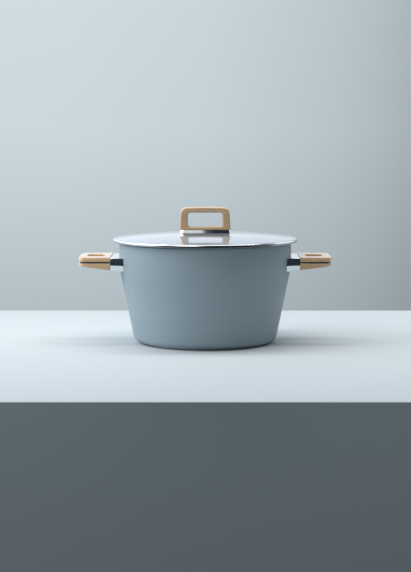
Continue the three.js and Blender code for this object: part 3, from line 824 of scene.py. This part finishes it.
def make_side_handle(side, turn):
    spin = Matrix.Rotation(turn, 4, "Z")
    upper_depth = GRIP_TOP - SEAM_HEIGHT
    upper = grip_half(
        f"{side}_grip_top", SIDE_LOOP, lambda along: upper_depth,
        lambda u, v, w: Vector((GRIP_ROOT + v, -u, SEAM_HEIGHT + w)),
    )
    lower = grip_half(
        f"{side}_grip_bottom", SIDE_LOOP, side_depth_at,
        lambda u, v, w: Vector((GRIP_ROOT + v, -u, SEAM_HEIGHT - w)),
    )
    ferrule = side_ferrule(f"{side}_ferrule")
    for piece in (upper, lower, ferrule):
        piece.data.transform(spin)
    along, across = bar_centre(SIDE_LOOP)
    seat = SEAM_HEIGHT - side_depth_at(along) + SIDE_SCREW.sink + SIDE_SCREW.head_height
    matrices = [
        spin @ Matrix.Translation((GRIP_ROOT + along, hand * across, seat)) @ Matrix.Rotation(math.pi, 4, "X")
        for hand in (-1, 1)
    ]
    names = [f"{side}_grip_screw_{number}" for number in (1, 2)]
    fit_screws(lower, SIDE_SCREW, matrices, GRIP_TOP - SIDE_SCREW.cover - seat, names, "pot")
    paint = wood_material(f"wood_{side}", PLANK_SHIFTS[side])
    dress(upper, paint, "pot", "wood", f"{side}_grip_upper")
    dress(lower, paint, "pot", "wood", f"{side}_grip_lower")
    dress(ferrule, CHROME, "pot", "chrome", f"{side}_handle_ferrule")


# Lid

def dome_level(reach):
    share = (reach - PLATEAU_RADIUS) / (BEAD_INNER - PLATEAU_RADIUS)
    return PLATEAU - (PLATEAU - PANEL_EDGE) * share ** 2


def dome_run(start, end, drop):
    reaches = [start + (end - start) * step / DOME_STEPS for step in range(DOME_STEPS + 1)]
    return [(reach, dome_level(reach) - drop, 0) for reach in reaches]


def make_lid():
    skirt_inner = SKIRT_RADIUS - SKIRT_THICKNESS
    pocket_floor = PLATEAU - POCKET_DEPTH
    edge = (BEAD_INNER + LID_RADIUS) / 2 + CLEARANCE
    seat = BEAD_INNER - CLEARANCE
    rebate = PANEL_EDGE - BEAD_LIP - CLEARANCE
    panel = [
        (VENT_RADIUS, pocket_floor - LID_THICKNESS, 0),
        (POCKET_RADIUS + POCKET_SLOPE, pocket_floor - LID_THICKNESS, 0),
        (POCKET_RADIUS + 2 * POCKET_SLOPE, PLATEAU - LID_THICKNESS, 0),
        *dome_run(PLATEAU_RADIUS, skirt_inner, LID_THICKNESS),
        (skirt_inner, SKIRT_BOTTOM, SKIRT_EDGE), (SKIRT_RADIUS, SKIRT_BOTTOM, SKIRT_EDGE),
        (SKIRT_RADIUS, PANEL_UNDERSIDE, 0), (edge, PANEL_UNDERSIDE, 0), (edge, rebate, 0), (seat, rebate, 0),
        *dome_run(seat, PLATEAU_RADIUS, 0),
        (POCKET_RADIUS + POCKET_SLOPE, PLATEAU, 0), (POCKET_RADIUS, pocket_floor, 0),
        (VENT_RADIUS, pocket_floor, 0),
    ]
    dress(lathe("lid", rounded(panel), closed=True), LID_ENAMEL, "lid", "lid_coat", "lid_panel")
    groove = edge + CLEARANCE
    groove_top = PANEL_EDGE - BEAD_LIP
    groove_bottom = PANEL_UNDERSIDE - CLEARANCE
    bead = [
        (BEAD_INNER, bead_low.z, 0), (LID_RADIUS, bead_low.z, BEAD_FOOT_ROUND),
        (LID_RADIUS - BEAD_LEAN, PANEL_EDGE, BEAD_TOP_ROUND), (BEAD_INNER, PANEL_EDGE, 0),
        (BEAD_INNER, groove_top, 0), (groove, groove_top, 0),
        (groove, groove_bottom, 0), (BEAD_INNER, groove_bottom, 0),
    ]
    dress(lathe("bead", rounded(bead), closed=True), CHROME, "lid", "chrome", "lid_bead")
    lip_inner = SEAL_LIP_OUTER - SEAL_LIP_THICKNESS
    seal = [
        (SEAL_INNER, SEAL_FLANGE_BOTTOM, 0), (lip_inner, SEAL_FLANGE_BOTTOM, 0),
        (lip_inner + SEAL_LIP_TAPER, seal_low.z, SEAL_LIP_ROUND),
        (SEAL_LIP_OUTER - SEAL_LIP_TAPER, seal_low.z, SEAL_LIP_ROUND),
        (SEAL_LIP_OUTER, SEAL_FLANGE_BOTTOM, 0), (SEAL_OUTER, SEAL_FLANGE_BOTTOM, SEAL_FLANGE_ROUND),
        (SEAL_OUTER, seal_high.z, SEAL_FLANGE_ROUND),
        (SEAL_INNER, seal_high.z, 0),
    ]
    dress(lathe("seal", rounded(seal), closed=True), SILICONE, "lid", "silicone", "lid_seal")


# Lid handle

def foot_outline(inset):
    half_length = FOOT_HALF_LENGTH - inset
    half_depth = FOOT_HALF_DEPTH - inset
    end_depth = half_depth - FOOT_BOW
    corner = min(FOOT_CORNER, end_depth * FULLEST_CORNER)
    return rounded([
        (-half_length, -end_depth, corner), (0, -half_depth, half_length / 2),
        (half_length, -end_depth, corner), (half_length, end_depth, corner),
        (0, half_depth, half_length / 2), (-half_length, end_depth, corner),
    ])


def foot_ring(inset, height):
    """One ring of the lid ferrule, which draws in evenly from its foot to its top."""
    drawn = FOOT_TOP_INSET * (height - foot_low.z) / (foot_high.z - foot_low.z)
    narrow = Vector((1 - drawn / FOOT_HALF_LENGTH, 1 - drawn / FOOT_HALF_DEPTH))
    return [Vector((point.x * narrow.x, point.y * narrow.y, height)) for point in foot_outline(inset)]


def lid_ferrule():
    roof = foot_high.z - FOOT_WALL
    rows = [foot_ring(FOOT_WALL, height) for height in (roof, foot_low.z)]
    bends = [(FOOT_EDGE * (1 - math.cos(angle)), FOOT_EDGE * (1 - math.sin(angle))) for angle in QUARTER_TURN]
    rows += [foot_ring(drop, foot_low.z + inset) for inset, drop in bends]
    rows += [foot_ring(inset, foot_high.z - drop) for inset, drop in bends]
    slot = box_body(
        Vector((-LID_NECK_HALF - CLEARANCE, -SEAM_GAP, foot_low.z)),
        Vector((LID_NECK_HALF + CLEARANCE, SEAM_GAP, foot_high.z + OVERSHOOT)),
    )
    return cut(loft("foot", rows), [slot])


def lid_depth_at(along):
    return LID_GRIP_ROOT_HALF - LID_GRIP_DRAW * along / LID_LOOP.length


def make_lid_handle():
    front = grip_half(
        "lid_grip_near", LID_LOOP, lid_depth_at, lambda u, v, w: Vector((u, -w, LID_GRIP_ROOT + v))
    )
    back = grip_half(
        "lid_grip_far", LID_LOOP, lid_depth_at, lambda u, v, w: Vector((u, w, LID_GRIP_ROOT + v))
    )
    along, across = bar_centre(LID_LOOP)
    face = lid_depth_at(along)
    seat = face - LID_SCREW.sink - LID_SCREW.head_height
    backwards = Matrix.Rotation(-math.pi / 2, 4, "X")
    matrices = [
        Matrix.Translation((hand * across, seat, LID_GRIP_ROOT + along)) @ backwards for hand in (-1, 1)
    ]
    names = ["lid_grip_screw_left", "lid_grip_screw_right"]
    fit_screws(back, LID_SCREW, matrices, seat + face - LID_SCREW.cover, names, "lid_handle")
    paint = wood_material("wood_lid", PLANK_SHIFTS["lid"])
    dress(front, paint, "lid_handle", "wood", "lid_grip_front")
    dress(back, paint, "lid_handle", "wood", "lid_grip_back")
    dress(lid_ferrule(), CHROME, "lid_handle", "chrome", "lid_handle_ferrule")


def spring(name, low, high):
    """A round wire wound upwards between two heights, closed at both ends."""
    centre = (low + high) / 2
    radius = (high.y - low.y) / 2 - SPRING_WIRE
    start, end = low.z + SPRING_WIRE, high.z - SPRING_WIRE
    rows = []
    for step in range(SPRING_STEPS + 1):
        share = step / SPRING_STEPS
        turn = 2 * math.pi * SPRING_TURNS * share
        outward = Vector((math.cos(turn), math.sin(turn), 0))
        middle = Vector((centre.x, centre.y, start + (end - start) * share)) + outward * radius
        around = [2 * math.pi * side / SPRING_SIDES for side in range(SPRING_SIDES)]
        rows.append([
            middle + (outward * math.cos(angle) + Vector((0, 0, math.sin(angle)))) * SPRING_WIRE
            for angle in around
        ])
    return loft(name, rows)


def cap_nut(name, low, high):
    """A hexagon nut with a domed cap below it and a blind bore from above."""
    hex_bottom = high.z - NUT_HEIGHT
    bore = high.z - NUT_BORE_DEPTH
    bore_radius = STUD_SHANK + CLEARANCE
    rows = [
        [Vector((0, 0, bore))],
        circle(bore_radius, bore, SMALL_SEGMENTS),
        circle(bore_radius, high.z, SMALL_SEGMENTS),
        hexagon(NUT_RADIUS - NUT_CHAMFER, high.z),
        hexagon(NUT_RADIUS, high.z - NUT_CHAMFER),
        hexagon(NUT_RADIUS, hex_bottom + NUT_CHAMFER),
        hexagon(NUT_RADIUS - NUT_CHAMFER, hex_bottom),
    ]
    for angle in QUARTER_TURN:
        height = hex_bottom - (hex_bottom - low.z) * math.sin(angle)
        rows.append(circle(NUT_DOME_RADIUS * math.cos(angle), height, SMALL_SEGMENTS))
    nut = loft(name, rows)
    nut.data.transform(Matrix.Translation(((low.x + high.x) / 2, (low.y + high.y) / 2, 0)))
    return nut


def make_fastenings():
    """Under the lid: the springs, which on the real pot shorten as the handle is lifted, and the nuts that
    lift with the handle.
    """
    for side in ("left", "right"):
        low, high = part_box(f"handle_spring_{side}")
        wound = spring(f"spring_{side}", low, high)
        dress(wound, STEEL, "lid", "steel", f"handle_spring_{side}")
        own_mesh(wound)
        nut = cap_nut(f"cap_nut_{side}", *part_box(f"lid_cap_nut_{side}"))
        dress(nut, STEEL, "lid_handle", "steel", f"lid_cap_nut_{side}")


def paint_inner_nodes():
    """The solids that show little keep their CAD form and get their metal or rubber."""
    for name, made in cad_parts.items():
        if made.hide_render:
            continue
        paint, slot = STEEL, "steel"
        if name == "valve_plug":
            paint, slot = SILICONE, "silicone"
        elif name.endswith("_tang"):
            # The tangs get the darkened steel, which paints the shade in the seam between the grip halves
            paint = SEAM_SHADE_STEEL
        made.data.materials.clear()
        made.data.materials.append(paint)


# Stage

def figured(tree, operation, first, second):
    return node(tree, "ShaderNodeMath", {0: first, 1: second}, operation=operation).outputs["Value"]


def past(tree, value, edge):
    """0 before the edge and 1 after it, with a short blend."""
    inputs = {"Value": value, "From Min": edge - FLOOR_BLEND, "From Max": edge + FLOOR_BLEND}
    return node(tree, "ShaderNodeMapRange", inputs, interpolation_type="SMOOTHSTEP").outputs["Result"]


def side_fade(tree, aside):
    """Darker from left to right: in the world this makes the light weaker to the right, on the floor's
    backdrop glow it is painted shade.
    """
    inputs = {"Value": aside, "From Min": -FADE_REACH, "From Max": FADE_REACH}
    share = node(tree, "ShaderNodeMapRange", inputs).outputs["Result"]
    return ramp(tree, share, [(position, (level, level, level, 1)) for position, level in FADE])


def seen_directly(tree):
    """1 where the camera, a mirror or a clear piece looks, and 0 for light that is passed on."""
    path = tree.nodes.new("ShaderNodeLightPath").outputs
    mirrored = figured(tree, "MAXIMUM", path["Is Glossy Ray"], path["Is Transmission Ray"])
    return figured(tree, "MAXIMUM", path["Is Camera Ray"], mirrored)


def make_floor():
    half = FLOOR_HALF
    mesh = bmesh.new()
    corners = [(-half, -half), (half, -half), (half, half), (-half, half)]
    mesh.faces.new([mesh.verts.new((x, y, 0)) for x, y in corners])
    floor = as_object("floor", mesh)
    paint, tree, shader = new_material("floor", roughness=0.7, specular_ior_level=0.2)
    split = node(tree, "ShaderNodeSeparateXYZ", {"Vector": place(tree)})
    inputs = {"Value": split.outputs["Y"], "From Min": FLOOR_FRONT_EDGE, "From Max": 0}
    inward = node(tree, "ShaderNodeMapRange", inputs).outputs["Result"]
    table = ramp(tree, inward, [(0, FRONT_COLOUR), (EDGE_SHARE, EDGE_COLOUR), (1, FLOOR_COLOUR)])
    tree.links.new(table, shader.inputs["Base Color"])
    away = figured(tree, "ADD", split.outputs["Y"], CAMERA_DISTANCE)
    nearness = figured(tree, "DIVIDE", FLOOR_BACK_EDGE + CAMERA_DISTANCE, away)
    depth = ramp(tree, nearness, [(FARTHEST, HORIZON_COLOUR), (1, BEHIND_COLOUR)])
    aside = figured(tree, "DIVIDE", split.outputs["X"], away)
    # The backdrop glow carries painted shade, darker towards the right
    glow = node(tree, "ShaderNodeEmission", {"Color": multiplied(tree, depth, side_fade(tree, aside))})
    behind = past(tree, split.outputs["Y"], FLOOR_BACK_EDGE)
    seen = figured(tree, "MULTIPLY", behind, seen_directly(tree))
    mixed = node(tree, "ShaderNodeMixShader", {0: seen, 1: shader.outputs[0], 2: glow.outputs[0]})
    tree.links.new(mixed.outputs[0], tree.nodes["Material Output"].inputs["Surface"])
    floor.data.materials.append(paint)


def make_world():
    """A studio that is pale behind, bright to the left, dim overhead and dark on the camera's side."""
    world = bpy.data.worlds.new("studio")
    bpy.context.scene.world = world
    world.use_nodes = True
    tree = world.node_tree
    direction = tree.nodes.new("ShaderNodeTexCoord").outputs["Generated"]
    split = node(tree, "ShaderNodeSeparateXYZ", {"Vector": direction})
    up = ramp(tree, split.outputs["Z"], SKY)
    colour = multiplied(tree, up, side_fade(tree, split.outputs["X"]))
    for axis, stops in (("X", SIDE_FADE), ("Y", NEAR_FADE)):
        inputs = {"Value": split.outputs[axis], "From Min": -1.0, "From Max": 1.0}
        share = node(tree, "ShaderNodeMapRange", inputs).outputs["Result"]
        colour = multiplied(tree, colour, ramp(tree, share, stops))
    tree.links.new(colour, tree.nodes["Background"].inputs["Color"])


def make_lamp(lamp):
    light = bpy.data.lights.new(lamp.name, "AREA")
    light.shape = "RECTANGLE"
    light.size, light.size_y = lamp.size
    light.energy = lamp.watts
    light.color = lamp.colour
    made = bpy.data.objects.new(lamp.name, light)
    made.location = lamp.position
    made.rotation_euler = (Vector(lamp.target) - Vector(lamp.position)).to_track_quat("-Z", "Y").to_euler()
    made.visible_camera = False
    bpy.context.scene.collection.objects.link(made)


def make_camera():
    lens = bpy.data.cameras.new("camera")
    lens.sensor_fit = "AUTO"
    lens.sensor_width = SENSOR
    lens.lens = FOCAL_PIXELS * SENSOR / IMAGE_HEIGHT
    lens.shift_x = IMAGE_SHIFT_PIXELS / IMAGE_HEIGHT
    made = bpy.data.objects.new("camera", lens)
    made.location = (0, -CAMERA_DISTANCE, CAMERA_HEIGHT)
    made.rotation_euler = (math.pi / 2 - CAMERA_PITCH, 0, 0)
    bpy.context.scene.collection.objects.link(made)
    bpy.context.scene.camera = made


make_pot()
make_base()
for side, turn in SIDE_TURNS.items():
    make_side_handle(side, turn)
make_lid()
make_lid_handle()
make_fastenings()
paint_inner_nodes()
make_floor()
make_world()
for lamp in LAMPS:
    make_lamp(lamp)
make_camera()
bpy.context.scene.view_settings.view_transform = "Standard"
